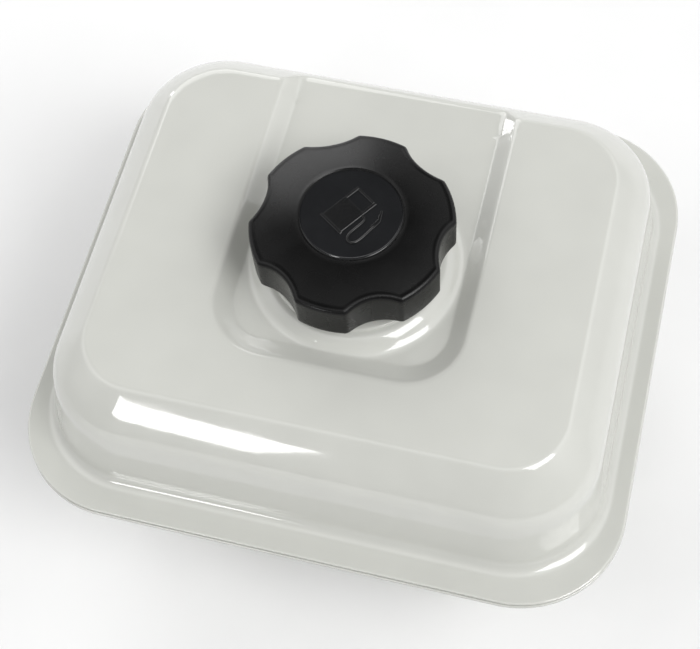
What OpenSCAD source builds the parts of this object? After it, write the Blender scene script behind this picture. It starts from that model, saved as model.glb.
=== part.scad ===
// Fuel tank of a small petrol engine: two pressed steel shells welded at a flat seam
// flange, a filler neck with a strainer, a lobed bayonet cap, and a bottom outlet.
// Millimetres, +Z up. X = 0, Y = 0 is the filler's axis, Z = 0 is where the studs end.

/* [Seam flange] */
// Length of the seam flange along X
flange_w = 220; // [214:1:240]
// Depth of the seam flange along Y
flange_d = 198; // [192:1:215]
// Corner radius of the seam flange
flange_r = 38; // [34:1:44]
// Height of the joint face between the two flanges
seam_z = 87; // [84:1:95]
// Thickness of the pressed steel sheet
sheet = 1; // [0.8:0.1:1.2]

/* [Upper shell] */
// Half length of the shell where its wall meets the flange
foot_x = 101.5; // [100:0.5:103]
// Half depth of the shell where its wall meets the flange
foot_y = 86.8; // [86:0.2:88]
// Half length at the shoulder, where the wall turns into the sloping band
shoulder_x = 97.2; // [96:0.2:98]
// Half depth at the shoulder
shoulder_y = 81.6; // [81:0.2:82.4]
// Height of the shoulder above the flange
shoulder_h = 29.5; // [28:0.5:31]
// Half length of the flat top
top_x = 84.6; // [84:0.2:86]
// Half depth of the flat top
top_y = 67.8; // [67:0.2:69]
// Height of the flat top above the flange
top_h = 42.5; // [41.5:0.5:44]

/* [Filler recess] */
// Half length of the recess at the flat top
recess_x = 44.6; // [44:0.2:46]
// How far the recess reaches towards -Y at the flat top
recess_y = 45; // [44:0.5:47]
// Depth of the recess
recess_depth = 5.5; // [5:0.5:6]
// Slope of the recess walls seen from above, at the sides
recess_side_run = 5.8; // [5:0.2:6.2]
// Slope of the recess wall seen from above, at the closed end
recess_end_run = 8.2; // [7:0.2:9]
// Height of the round pad that carries the neck, above the recess floor
pad_h = 4.6; // [4:0.2:5]

/* [Lower shell] */
// Depth of the pan below the seam
pan_depth = 57; // [54:1:60]
// Half length of the pan at its bottom edge
pan_x = 97; // [95:0.5:98]
// Half depth of the pan at its bottom edge
pan_y = 82; // [80:0.5:83]

/* [Filler neck] */
// Outer radius of the neck
neck_r = 25; // [24.6:0.1:25]
// Radius of the mouth inside the lip
mouth_r = 19.5; // [19.4:0.1:19.8]
// Height of the neck's rim above the seam
rim_h = 59; // [58.5:0.5:60]

/* [Cap] */
// Radius of the cap over its lobes
cap_r = 35.3; // [35:0.1:36]
// Height of the cap's skirt
skirt_h = 13.2; // [13:0.1:13.6]
// Rise of the domed top above the skirt
dome_h = 6.3; // [6:0.1:7]
// Radius of the flat disc on the cap's top
disc_r = 17.4; // [16:0.2:18]
// Number of hand grips cut into the skirt
grip_count = 6; // [5:1:6]
// Direction of the first grip, in degrees from +X
grip_turn = -4; // [-30:1:30]

/* [Feet and outlet] */
// Distance between the two mounting studs
stud_spacing = 90; // [80:1:96]
// Radius of the mounting studs
stud_r = 3; // [2.5:0.5:4]
// Distance of the outlet from the filler's axis along X
outlet_x = 70; // [68:1:72]
// Outer radius of the hose nipple
nipple_r = 2.75; // [2.5:0.05:3]

/* [Hidden] */
$fn = 96;
hull_fn = 40;
hair = 0.01;
over = 1;
paint = [0.85, 0.85, 0.82];
black = [0.09, 0.09, 0.09];
steel = [0.72, 0.72, 0.70];
zinc = [0.80, 0.78, 0.66];
brass = [0.78, 0.66, 0.38];
rubber = [0.13, 0.13, 0.14];
felt = [0.55, 0.55, 0.50];

flange_top = seam_z + sheet;
pan_bottom = seam_z - pan_depth;
recess_floor = flange_top + top_h - recess_depth;
recess_corner = 21;
pad_top = recess_floor + pad_h;
pad_foot_r = 37.5;
pad_top_r = 33;

rim = seam_z + rim_h;
lip = 1.2;
neck_wall = 1.2;
neck_bottom = recess_floor - sheet;
collar_r = 30.5;
ledge_r = 17.5;
notch_half = 6.2;
notch_reach = 23;

cap_base = seam_z + 51;
cap_corner = cap_base + skirt_h;
cap_bore = 29;
chamber_r = 24;
plate_z = rim + 2;
plate_t = 1;
gasket_gap = 0.05;

rivet_r = 3;
running = 0.05;
ear_top = rim - 3.6;
ear_t = 1.2;
ear_half = 5;
ear_reach = 22.5;
draw = 1.5;
tab_y = 15.2;
spring_foot = ear_top - 10.4;
wire_r = 0.7;
coil_r = 6.2;
spring_turns = 4;

basket_r = 14.6;
basket_foot = 78;
post_r = 0.8;
post_centre = 15.8;

stud_y = -52;
stud_plate_t = 2;
tab_t = 2;
tab_w = 44;
tab_back = 62;
tab_hole_y = 74;
tab_hole_r = 3.3;
outlet_y = -12;
bush_r = 9;
bush_foot = pan_bottom - 6;
outlet_bore = 1.6;
nipple_foot = 2;

// ---- helpers -------------------------------------------------------------------------

// A path is a list of rings, each [half x, half y, corner radius, height].
// The corner at ring i is rounded by a curve that starts and ends cut away from it.
function toward(a, b, cut) =
    a + (b - a) * min(0.5, cut / max(hair, norm([a[0] - b[0], a[3] - b[3]])));
function curve(a, b, c, t) = a * (1 - t) * (1 - t) + b * 2 * t * (1 - t) + c * t * t;
function rounded_path(p, cuts, steps = 5) = concat(
    [p[0]],
    [for (i = [1 : len(p) - 2], s = [0 : steps])
        curve(toward(p[i], p[i - 1], cuts[i - 1]), p[i],
              toward(p[i], p[i + 1], cuts[i - 1]), s / steps)],
    [p[len(p) - 1]]);

module ring_slab(ring) {
    for (x = [-1, 1], y = [-1, 1])
        translate([x * (ring[0] - ring[2]), y * (ring[1] - ring[2]), ring[3] - hair])
            cylinder(r = ring[2], h = hair, $fn = hull_fn);
}

module stack(path) {
    for (i = [0 : len(path) - 2])
        hull() {
            ring_slab(path[i]);
            ring_slab(path[i + 1]);
        }
}

module flange_plate(z) {
    translate([0, 0, z])
        linear_extrude(sheet)
            hull()
                for (x = [-1, 1], y = [-1, 1])
                    translate([x * (flange_w / 2 - flange_r), y * (flange_d / 2 - flange_r)])
                        circle(r = flange_r, $fn = 2 * hull_fn);
}

module ring(outer, inner, z, h) {
    translate([0, 0, z])
        difference() {
            cylinder(r = outer, h = h);
            translate([0, 0, -over]) cylinder(r = inner, h = h + 2 * over);
        }
}

// A slice of a ring between two directions less than 90 degrees apart
module ring_slice(outer, inner, z, h, from, to) {
    far = 2 * outer;
    intersection() {
        ring(outer, inner, z, h);
        translate([0, 0, z - over])
            linear_extrude(h + 2 * over)
                polygon([[0, 0], [far * cos(from), far * sin(from)], [far * cos(to), far * sin(to)]]);
    }
}

// ---- pressed shells ------------------------------------------------------------------

// Heights are from the seam's joint face, and depth is how far inside the outer skin.
function upper_path(depth) = rounded_path([
    [foot_x + 5 - depth, foot_y + 5 - depth, 37 - depth, sheet - depth],
    [foot_x - depth, foot_y - depth, 34 - depth, sheet - depth],
    [shoulder_x - depth, shoulder_y - depth, 31.5 - depth, sheet + shoulder_h - 0.7 * depth],
    [top_x - 0.6 * depth, top_y - 0.6 * depth, 21.5 - depth / 2, sheet + top_h - depth],
    [50, 34, 8, sheet + top_h - depth]], [4.5, 6, 5]);

function lower_path(depth) = rounded_path([
    [foot_x + 5 - depth, foot_y + 5 - depth, 37 - depth, sheet - depth],
    [foot_x - depth, foot_y - depth, 34 - depth, sheet - depth],
    [pan_x - depth, pan_y - depth, 31 - depth, pan_depth - depth],
    [50, 34, 8, pan_depth - depth]], [4.5, 14]);

// The recess is closed at -Y and runs out through the sloping band at +Y.
module recess_space(depth) {
    top = flange_top + top_h;
    floor_z = recess_floor - depth;
    wide = recess_x + depth / 2;
    low = recess_x - recess_side_run + depth / 2;
    low_corner = recess_corner - recess_side_run;
    hull() {
        for (x = [-1, 1]) {
            translate([x * (wide - recess_corner), recess_corner - recess_y - depth / 2, top])
                cylinder(r = recess_corner, h = over, $fn = 2 * hull_fn);
            translate([x * (wide - over), flange_d / 2, top])
                cylinder(r = over, h = over, $fn = hull_fn);
            translate([x * (low - low_corner),
                       low_corner - recess_y + recess_end_run - depth / 2, floor_z])
                cylinder(r = low_corner, h = hair, $fn = 2 * hull_fn);
            translate([x * (low - over), flange_d / 2, floor_z])
                cylinder(r = over, h = hair, $fn = hull_fn);
        }
    }
}

module upper_skin(depth) {
    difference() {
        translate([0, 0, seam_z]) stack(upper_path(depth));
        recess_space(depth);
    }
    translate([0, 0, recess_floor - depth - hair])
        cylinder(r1 = pad_foot_r - depth / 2, r2 = pad_top_r - depth / 2, h = pad_h);
}

module upper_shell() {
    color(paint)
        difference() {
            union() {
                flange_plate(seam_z);
                upper_skin(0);
            }
            upper_skin(sheet);
            translate([0, 0, seam_z - over])
                linear_extrude(over + hair)
                    square([2 * foot_x - 40, 2 * foot_y - 40], center = true);
            translate([0, 0, neck_bottom - over])
                cylinder(r = neck_r + 0.4, h = 2 * pad_h + over);
        }
}

module lower_shell() {
    color(paint)
        difference() {
            union() {
                flange_plate(seam_z - sheet);
                translate([0, 0, seam_z]) mirror([0, 0, 1]) stack(lower_path(0));
            }
            translate([0, 0, seam_z]) mirror([0, 0, 1]) stack(lower_path(sheet));
            translate([0, 0, seam_z - hair])
                linear_extrude(over)
                    square([2 * foot_x - 40, 2 * foot_y - 40], center = true);
            translate([outlet_x, outlet_y, pan_bottom - over])
                cylinder(r = 5.4, h = 2 * over + sheet);
        }
}

// ---- filler neck and strainer --------------------------------------------------------

// Under the lip a stepped cam draws the cap's ears down as the cap is turned clockwise.
function cam_depth(turned) = 3.5 + draw * (turned - 20) / 90;
cam_step = 15;

module neck_cams() {
    for (side = [0, 180]) {
        for (turned = [20 : cam_step : 80])
            ring_slice(neck_r - hair, mouth_r, rim - cam_depth(turned),
                       cam_depth(turned) - lip / 2, side - turned - cam_step, side - turned);
        ring_slice(neck_r - hair, mouth_r, rim - 7, 7 - lip / 2, side - 113, side - 107);
    }
}

module filler_neck() {
    color(paint) {
        difference() {
            union() {
                ring(neck_r, neck_r - neck_wall, neck_bottom, rim - neck_bottom);
                ring(neck_r, mouth_r, rim - lip, lip);
                ring(neck_r, ledge_r, neck_bottom, lip);
                ring(collar_r, neck_r - neck_wall / 2, pad_top, lip);
                neck_cams();
            }
            for (side = [-1, 1])
                translate([side * notch_reach / 2, 0, rim - 2])
                    cube([notch_reach, 2 * notch_half, 5], center = true);
        }
    }
}

module strainer_frame() {
    flange_z = neck_bottom + lip;
    color(rubber) {
        ring(19.2, 15.2, flange_z, 2);
        ring(16.7, 14.9, flange_z - 6, 6 + hair);
        ring(16.7, 10, basket_foot - 2, 2);
        for (a = [0 : 60 : 300])
            rotate(a)
                translate([post_centre, 0, basket_foot - over])
                    cylinder(r = post_r, h = flange_z - basket_foot);
    }
}

module strainer_mesh() {
    color(brass) {
        ring(basket_r + 0.3, basket_r, basket_foot, neck_bottom + lip - basket_foot);
        translate([0, 0, basket_foot]) cylinder(r = basket_r + 0.1, h = 0.4);
    }
}

// ---- outlet --------------------------------------------------------------------------

module at_outlet() {
    translate([outlet_x, outlet_y, 0]) children();
}

module outlet_bush() {
    color(paint) at_outlet() ring(bush_r, 5, bush_foot, pan_bottom - bush_foot);
}

module outlet_joint() {
    seat = bush_foot - 1.6;
    color(zinc)
        at_outlet()
            difference() {
                union() {
                    translate([0, 0, seat - 1.4]) cylinder(r = 8.6, h = 1.4);
                    translate([0, 0, seat - 8]) cylinder(r = 8.1, h = 7, $fn = 6);
                    translate([0, 0, seat - hair]) cylinder(r = 4.9, h = pan_bottom + 3 - seat);
                    translate([0, 0, nipple_foot + 0.6])
                        cylinder(r = nipple_r, h = seat - nipple_foot - 2);
                    translate([0, 0, nipple_foot])
                        cylinder(r1 = nipple_r - 0.5, r2 = nipple_r, h = 0.6 + hair);
                }
                cylinder(r = outlet_bore, h = pan_bottom + 5);
            }
}

module outlet_o_ring() {
    color(rubber)
        at_outlet()
            translate([0, 0, bush_foot - 0.8])
                rotate_extrude()
                    translate([6.4, 0]) circle(r = 0.8, $fn = 32);
}

module outlet_screen() {
    color(brass)
        at_outlet()
            difference() {
                translate([0, 0, pan_bottom + 3]) cylinder(r = 4, h = 28);
                translate([0, 0, pan_bottom + 2]) cylinder(r = 3.5, h = 28);
            }
}

// ---- mounting feet -------------------------------------------------------------------

module stud_plate() {
    half = stud_spacing / 2 + 4;
    color(paint)
        translate([0, stud_y, pan_bottom - stud_plate_t])
            linear_extrude(stud_plate_t)
                union() {
                    square([2 * half, 26], center = true);
                    for (x = [-half, half])
                        translate([x, 0]) circle(r = 13);
                }
}

module mounting_studs() {
    top = pan_bottom - stud_plate_t;
    color(zinc)
        for (x = [-1, 1] * stud_spacing / 2)
            translate([x, stud_y, 0]) {
                cylinder(r = stud_r, h = top);
                translate([0, 0, top - 1.5]) cylinder(r = stud_r + 2, h = 1.5);
            }
}

module rear_bracket() {
    color(paint)
        difference() {
            union() {
                translate([-tab_w / 2, tab_back - 18, pan_bottom - tab_t]) cube([tab_w, 18, tab_t]);
                translate([-tab_w / 2, tab_back - tab_t, 0]) cube([tab_w, tab_t, pan_bottom]);
                translate([-tab_w / 2, tab_back - tab_t, 0]) cube([tab_w, 16, tab_t]);
                translate([-tab_w / 2 + 8, tab_back, 0]) cube([tab_w - 16, 22, tab_t]);
                for (x = [-1, 1])
                    translate([x * (tab_w / 2 - 8), tab_back + 14, 0]) cylinder(r = 8, h = tab_t);
            }
            translate([0, tab_hole_y, -over]) cylinder(r = tab_hole_r, h = tab_t + 2 * over);
        }
}

// ---- cap -----------------------------------------------------------------------------

// The edge is a quarter of an ellipse, edge_r wide and edge_h high. From there the top
// rises gently to the flat disc. dome() is its height above the edge.
edge_r = 2;
edge_h = 1.8;
function dome(r) = (dome_h - edge_h) * (1 - pow((r - disc_r) / (cap_r - edge_r - disc_r), 1.2));

module cap_profile() {
    polygon(concat(
        [[0, cap_base], [cap_r, cap_base]],
        [for (a = [0 : 15 : 75])
            [cap_r - edge_r + edge_r * cos(a), cap_corner + edge_h * sin(a)]],
        [for (s = [0 : 8]) let (r = cap_r - edge_r - s / 8 * (cap_r - edge_r - disc_r))
            [r, cap_corner + edge_h + dome(r)]],
        [[0, cap_corner + dome_h]]));
}

module cap_cover() {
    grip_r = 17.7;
    grip_centre = 49.1;
    color(black)
        difference() {
            rotate_extrude() cap_profile();
            for (i = [0 : grip_count - 1])
                rotate(grip_turn + 360 / grip_count * i)
                    translate([grip_centre, 0, cap_base - over])
                        cylinder(r = grip_r, h = skirt_h + dome_h + 2 * over);
            translate([0, 0, cap_base - over])
                cylinder(r = cap_bore, h = plate_z + plate_t - cap_base + over);
            translate([0, 0, plate_z]) cylinder(r = chamber_r, h = 5);
            ring(disc_r + 0.5, disc_r - 0.1, cap_corner + dome_h - 0.5, 2);
        }
}

module cap_inner_plate() {
    color(steel) {
        difference() {
            translate([0, 0, plate_z]) cylinder(r = cap_bore - 0.2, h = plate_t);
            translate([0, 0, plate_z - over])
                cylinder(r = rivet_r + running, h = plate_t + 2 * over);
            translate([10.5, 0, plate_z - over]) cylinder(r = 1.1, h = plate_t + 2 * over);
        }
        for (side = [-1, 1])
            translate([-3.2, side * (tab_y + 0.6) - 0.6, ear_top - 3.2])
                cube([6.4, 1.2, plate_z - ear_top + 3.2 + hair]);
    }
}

module cap_gasket() {
    color(rubber) ring(25.8, 18.4, rim + gasket_gap, plate_z - rim - gasket_gap);
}

module vent_filter() {
    color(felt) ring(15, 7, plate_z + plate_t, 3);
}

module vent_valve() {
    color(rubber)
        translate([10.5, 0, 0]) {
            translate([0, 0, plate_z - 0.8]) cylinder(r = 3, h = 0.8);
            translate([0, 0, plate_z - hair]) cylinder(r = 1, h = plate_t);
        }
}

module cap_rivet() {
    color(steel) {
        translate([0, 0, spring_foot - 1 - 1.5]) cylinder(r = 5.5, h = 1.5);
        translate([0, 0, spring_foot - 1 - hair])
            cylinder(r = rivet_r, h = plate_z + plate_t - spring_foot + 1 + 2 * hair);
        translate([0, 0, plate_z + plate_t]) cylinder(r = 5.5, h = 1.6);
    }
}

module rivet_washer() {
    color(zinc) ring(8.5, rivet_r + running, spring_foot - 1, 1);
}

module bayonet_plate() {
    plate_foot = ear_top - ear_t;
    color(zinc)
        difference() {
            union() {
                translate([0, 0, plate_foot]) cylinder(r = 17.2, h = ear_t);
                intersection() {
                    translate([0, 0, plate_foot]) cylinder(r = ear_reach, h = ear_t);
                    translate([-ear_reach, -ear_half, plate_foot])
                        cube([2 * ear_reach, 2 * ear_half, ear_t]);
                }
            }
            translate([0, 0, plate_foot - over])
                cylinder(r = rivet_r + running, h = ear_t + 2 * over);
            for (side = [-1, 1])
                translate([-3.6, side * (tab_y + 2) - 2.6, plate_foot - over])
                    cube([7.2, 5.2, ear_t + 2 * over]);
        }
}

// A compression spring: round wire on a helix, its end turns lying flat
module cap_spring() {
    sides = 8;
    per_turn = 20;
    rings = spring_turns * per_turn;
    low = spring_foot + wire_r;
    high = ear_top - ear_t - wire_r;
    function rise(s) = max(0, min(1, (s * spring_turns - 0.6) / (spring_turns - 1.2)));
    points = [for (i = [0 : rings], k = [0 : sides - 1])
        let (a = 360 * i / per_turn, b = 360 * k / sides, r = coil_r + wire_r * cos(b))
        [r * cos(a), r * sin(a), low + (high - low) * rise(i / rings) + wire_r * sin(b)]];
    walls = [for (i = [0 : rings - 1], k = [0 : sides - 1])
        let (n = (k + 1) % sides, a = i * sides, b = a + sides)
        [a + k, a + n, b + n, b + k]];
    start = [for (k = [sides - 1 : -1 : 0]) k];
    end = [for (k = [0 : sides - 1]) rings * sides + k];
    color(steel) polyhedron(points, concat([start], walls, [end]), convexity = 8);
}

upper_shell();
lower_shell();
filler_neck();
strainer_frame();
strainer_mesh();
outlet_bush();
outlet_joint();
outlet_o_ring();
outlet_screen();
stud_plate();
mounting_studs();
rear_bracket();
cap_cover();
cap_inner_plate();
cap_gasket();
vent_filter();
vent_valve();
cap_rivet();
rivet_washer();
bayonet_plate();
cap_spring();
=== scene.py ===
# %% [markdown]
# # A petrol engine's fuel tank, finished in Blender
# The tank is two pressed steel shells, welded at a flat flange. A black plastic cap with six hand
# grips closes a filler neck that stands in a recess on top. The CAD model fixes every size, place
# and motion. This script makes the surfaces that a camera can see, with the cap on or off, in the
# CAD model's own frame.

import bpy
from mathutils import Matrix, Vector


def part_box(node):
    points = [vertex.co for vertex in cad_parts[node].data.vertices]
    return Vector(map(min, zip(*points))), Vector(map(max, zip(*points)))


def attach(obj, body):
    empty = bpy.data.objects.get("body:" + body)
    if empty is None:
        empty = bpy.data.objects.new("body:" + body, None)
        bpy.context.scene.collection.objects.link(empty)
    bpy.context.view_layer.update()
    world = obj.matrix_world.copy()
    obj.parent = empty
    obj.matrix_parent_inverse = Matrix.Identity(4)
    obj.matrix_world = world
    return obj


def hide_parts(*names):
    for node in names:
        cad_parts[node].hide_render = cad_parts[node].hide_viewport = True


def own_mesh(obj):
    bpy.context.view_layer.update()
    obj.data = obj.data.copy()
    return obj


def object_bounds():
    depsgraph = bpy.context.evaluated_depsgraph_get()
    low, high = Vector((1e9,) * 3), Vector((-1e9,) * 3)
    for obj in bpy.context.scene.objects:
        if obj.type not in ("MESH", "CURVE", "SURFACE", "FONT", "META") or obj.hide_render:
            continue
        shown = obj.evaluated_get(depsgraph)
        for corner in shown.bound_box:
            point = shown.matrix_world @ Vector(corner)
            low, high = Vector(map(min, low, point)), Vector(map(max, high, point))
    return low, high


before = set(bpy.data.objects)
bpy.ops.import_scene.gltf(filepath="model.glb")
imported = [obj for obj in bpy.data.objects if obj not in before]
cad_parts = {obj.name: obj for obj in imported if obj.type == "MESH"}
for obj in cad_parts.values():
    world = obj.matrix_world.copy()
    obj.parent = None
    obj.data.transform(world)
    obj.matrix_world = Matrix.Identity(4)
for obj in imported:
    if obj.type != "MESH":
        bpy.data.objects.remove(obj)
cad_low, cad_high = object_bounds()

# %% Other modules, and the unit: Blender works in metres and this script in millimetres
import math

import bpy
import numpy as np
from mathutils import Matrix, Vector

MM = 0.001

# %% [markdown]
# ## Camera
# A camera's place is easier to think about as a point that it looks at, how far away it stands and
# from which direction. Those numbers become a matrix whose columns are right, up and backwards.
# The lens is twice as long as a wide one, as in product pictures, so that the tank's far side
# looks only a little smaller than its near side.

# %% Camera
SHEET = 1.0
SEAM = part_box("upper_shell")[0].z / MM
FLANGE_TOP = SEAM + SHEET
LENS = 73.97
SENSOR_WIDTH = 36
AIM = Vector((-2.4, -7.1, FLANGE_TOP)) * MM
DISTANCE = 540.1 * MM
AZIMUTH, ELEVATION, ROLL = (math.radians(degrees) for degrees in (20.06, 62.97, -6.68))


def looking_from(target, distance, azimuth, elevation, roll):
    """The camera matrix: azimuth 0 looks along +Y, elevation is above the horizon."""
    back = Vector((math.sin(azimuth) * math.cos(elevation),
                   -math.cos(azimuth) * math.cos(elevation), math.sin(elevation)))
    level = (-back).cross(Vector((0, 0, 1))).normalized()
    upright = level.cross(-back)
    right = math.cos(roll) * level + math.sin(roll) * upright
    up = math.cos(roll) * upright - math.sin(roll) * level
    place = target + back * distance
    turned = Matrix((right, up, back)).transposed().to_4x4()
    return Matrix.Translation(place) @ turned


camera_data = bpy.data.cameras.new("product_camera")
camera_data.lens = LENS
camera_data.sensor_width = SENSOR_WIDTH
camera = bpy.data.objects.new("product_camera", camera_data)
bpy.context.scene.collection.objects.link(camera)
camera.matrix_world = looking_from(AIM, DISTANCE, AZIMUTH, ELEVATION, ROLL)
bpy.context.scene.camera = camera
print("camera stands at", [round(x, 3) for x in camera.matrix_world.translation])

# %% [markdown]
# ## Shader maths as Python
# A material here is worked out from places on the object. Wrapping a node's output in a small
# class lets a pattern be written as an ordinary expression, and Blender builds the nodes for it.

# %% The socket class
class Socket:
    """A node's output, or a number, that can be used in sums."""

    def __init__(self, tree, output):
        self.tree = tree
        self.output = output

    def node(self, kind, settings=None, **inputs):
        """Any other node: settings are set first, then inputs by socket name or number."""
        made = self.tree.nodes.new(kind)
        for name, value in (settings or {}).items():
            if name == "stops":
                for stop, (place, shade) in zip(made.color_ramp.elements, value):
                    stop.position = place
                    stop.color = (shade, shade, shade, 1)
            else:
                setattr(made, name, value)
        for name, value in inputs.items():
            key = int(name[1:]) if name[0] == "_" else name.replace("_", " ")
            feed(self.tree, made.inputs[key], value)
        return made

    def maths(self, operation, *values):
        made = self.node("ShaderNodeMath", {"operation": operation})
        for place, value in enumerate(values):
            feed(self.tree, made.inputs[place], value)
        return Socket(self.tree, made.outputs[0])

    def __add__(self, other):
        return self.maths("ADD", self, other)

    __radd__ = __add__

    def __mul__(self, other):
        return self.maths("MULTIPLY", self, other)

    __rmul__ = __mul__


def feed(tree, socket, value):
    """Links a Socket to an input, or sets the input to a plain value."""
    if isinstance(value, Socket):
        tree.links.new(value.output, socket)
    else:
        socket.default_value = value


class Finish:
    """One material: its shader, and the patterns that feed it."""

    def __init__(self, name, color, roughness, **constants):
        self.material = bpy.data.materials.new(name)
        self.material.use_nodes = True
        self.tree = self.material.node_tree
        self.shader = self.tree.nodes["Principled BSDF"]
        self.set("Base Color", (*color, 1.0))
        self.set("Roughness", roughness)
        for key, value in constants.items():
            self.set(key.replace("_", " "), value)
        place = self.tree.nodes.new("ShaderNodeTexCoord")
        self.place = Socket(self.tree, place.outputs["Object"])

    def set(self, name, value):
        feed(self.tree, self.shader.inputs[name], value)

    def noise(self, size, detail=2.0, stretch=(1, 1, 1)):
        """Cloudy noise from 0 to 1 whose lumps are about that many millimetres across."""
        scaled = self.place.node("ShaderNodeMapping", {}, Vector=self.place, Scale=stretch)
        made = self.place.node("ShaderNodeTexNoise", {}, Scale=1 / (size * MM), Detail=detail,
                               Vector=Socket(self.tree, scaled.outputs["Vector"]))
        return Socket(self.tree, made.outputs["Fac"])

    def mix(self, factor, first, second):
        """Blends two colours by a factor from 0 to 1. The node's colour inputs are 6 and 7."""
        first, second = (shade if isinstance(shade, Socket) else (*shade, 1.0)
                         for shade in (first, second))
        made = self.place.node("ShaderNodeMix", {"data_type": "RGBA"}, Factor=factor,
                               _6=first, _7=second)
        return Socket(self.tree, made.outputs[2])

    def ramp(self, factor, *stops):
        """A grey ramp between two stops, each a place and a shade."""
        made = self.place.node("ShaderNodeValToRGB", {"stops": stops}, Fac=factor)
        return Socket(self.tree, made.outputs["Color"])

    def bump(self, height, depth):
        """Relief: height runs 0 to 1 and stands for that many millimetres."""
        made = self.place.node("ShaderNodeBump", {}, Height=height, Distance=depth * MM,
                               Strength=1.0)
        self.set("Normal", Socket(self.tree, made.outputs["Normal"]))


# %% [markdown]
# ## Finishes
# Baked enamel on steel isn't a mirror: the paint flows a little before it sets, so reflections
# waver over a few millimetres, and a dust nib shows here and there. The cap is moulded plastic.
# Its mould was etched, which gives the fine grain, but the centre disc was polished. The disc is
# given a lighter, bluer colour too, which is a painted reflection.

# %% Enamel
DUST = (0.55, 0.53, 0.47)


def toned(shade, factor):
    """A lighter or darker shade of the same colour."""
    return tuple(min(1.0, c * factor) for c in shade)


def enamel(name, shade):
    """Gloss off-white enamel with flow marks and a few dust nibs."""
    made = Finish(name, shade, 0.10, Coat_Weight=0.5, Coat_Roughness=0.02, IOR=1.5)
    flow = made.noise(14, 1.0)
    peel = made.noise(3.5, 2.0)
    nibs = made.ramp(made.noise(1.1, 0.0), (0.83, 0.0), (0.88, 1.0))
    paint = made.mix(flow, toned(shade, 0.965), toned(shade, 1.025))
    made.set("Base Color", made.mix(nibs * 0.35, paint, DUST))
    made.set("Roughness", 0.05 + 0.05 * flow + 0.1 * nibs)
    made.bump(flow * 0.6 + peel * 0.16 + nibs * 0.10, 0.10)
    return made.material


ENAMEL = enamel("gloss_enamel", (0.565, 0.57, 0.534))
BRACKET_ENAMEL = enamel("bracket_enamel", (0.545, 0.55, 0.515))
print("enamel made")

# %% Moulded plastics and rubber
def moulded(name, shade, roughness, grain, depth, gloss=0.5):
    """Etched moulded plastic: grain is the pattern's size and depth its relief, in millimetres."""
    made = Finish(name, shade, roughness, IOR=1.5, Specular_IOR_Level=gloss)
    cloud = made.noise(9, 2.0)
    pits = made.noise(grain, 2.0)
    made.set("Base Color", made.mix(cloud, toned(shade, 0.75), toned(shade, 1.3)))
    made.set("Roughness", roughness - 0.06 + 0.12 * cloud)
    made.bump(pits, depth)
    return made.material


CAP_GRAIN = moulded("cap_grain", (0.0024, 0.0024, 0.0024), 0.27, 0.30, 0.03, 0.24)
# The polished disc's colour is lighter and bluer than the grain's: a painted reflection.
CAP_SMOOTH_PAINTED_REFLECTION = moulded("cap_smooth_painted_reflection", (0.0080, 0.0084, 0.0094), 0.14, 3.0, 0.008)
CAP_SIGN = moulded("cap_sign", (0.0040, 0.0041, 0.0044), 0.22, 0.40, 0.03)
DARK_NYLON = moulded("dark_nylon", (0.03, 0.033, 0.033), 0.38, 1.2, 0.01)
RUBBER = moulded("black_rubber", (0.02, 0.02, 0.021), 0.62, 0.5, 0.02)
print("plastics made")

# %% Metals
def metal(name, shade, tint, roughness, streak):
    """Plated or drawn metal: streak is the size of the marks that drawing or rolling leaves."""
    made = Finish(name, shade, roughness, Metallic=1.0)
    cloud = made.noise(6, 3.0)
    marks = made.noise(streak, 2.0, (1, 1, 0.15))
    made.set("Base Color", made.mix(cloud, shade, tint))
    made.set("Roughness", roughness - 0.08 + 0.16 * cloud)
    made.bump(marks, 0.02)
    return made.material


PLATED = metal("plated_steel", (0.60, 0.60, 0.58), (0.50, 0.50, 0.50), 0.30, 0.6)
SPRING = metal("spring_steel", (0.36, 0.36, 0.37), (0.26, 0.26, 0.28), 0.28, 0.3)
YELLOW_ZINC = metal("yellow_zinc", (0.66, 0.58, 0.34), (0.58, 0.56, 0.48), 0.33, 0.5)
BRASS = metal("brass_gauze", (0.62, 0.47, 0.21), (0.50, 0.38, 0.18), 0.36, 0.25)
print("metals made")

# %% Felt
def felt(name, shade):
    """Pressed fibres: fine, rough and without gloss."""
    made = Finish(name, shade, 0.95)
    fibres = made.noise(0.3, 4.0)
    made.set("Base Color", made.mix(fibres, toned(shade, 0.6), shade))
    made.bump(fibres, 0.15)
    return made.material


FELT = felt("filter_felt", (0.42, 0.40, 0.33))
print("felt made")

# %% [markdown]
# ## How pieces are added
# Each new piece starts as a primitive. Operators act on everything that is selected, so everything
# is deselected first. A finished piece keeps its place in its mesh, merges its doubles, points its
# faces outwards, shades its soft edges smooth, and rides on the CAD body that carries it.

# %% Adding and finishing pieces
def add(operator, **settings):
    """Runs an add operator with nothing else selected and returns the new object."""
    if bpy.context.object and bpy.context.object.mode != "OBJECT":
        bpy.ops.object.mode_set(mode="OBJECT")
    bpy.ops.object.select_all(action="DESELECT")
    operator(**settings)
    return bpy.context.object


def modify(piece, kind, **settings):
    """Adds a modifier and applies it at once."""
    bpy.context.view_layer.objects.active = piece
    made = piece.modifiers.new(kind.lower(), kind)
    for name, value in settings.items():
        setattr(made, name, value)
    bpy.ops.object.modifier_apply(modifier=made.name)


MERGE = 0.002
SMOOTH_UNDER = 35


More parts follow.
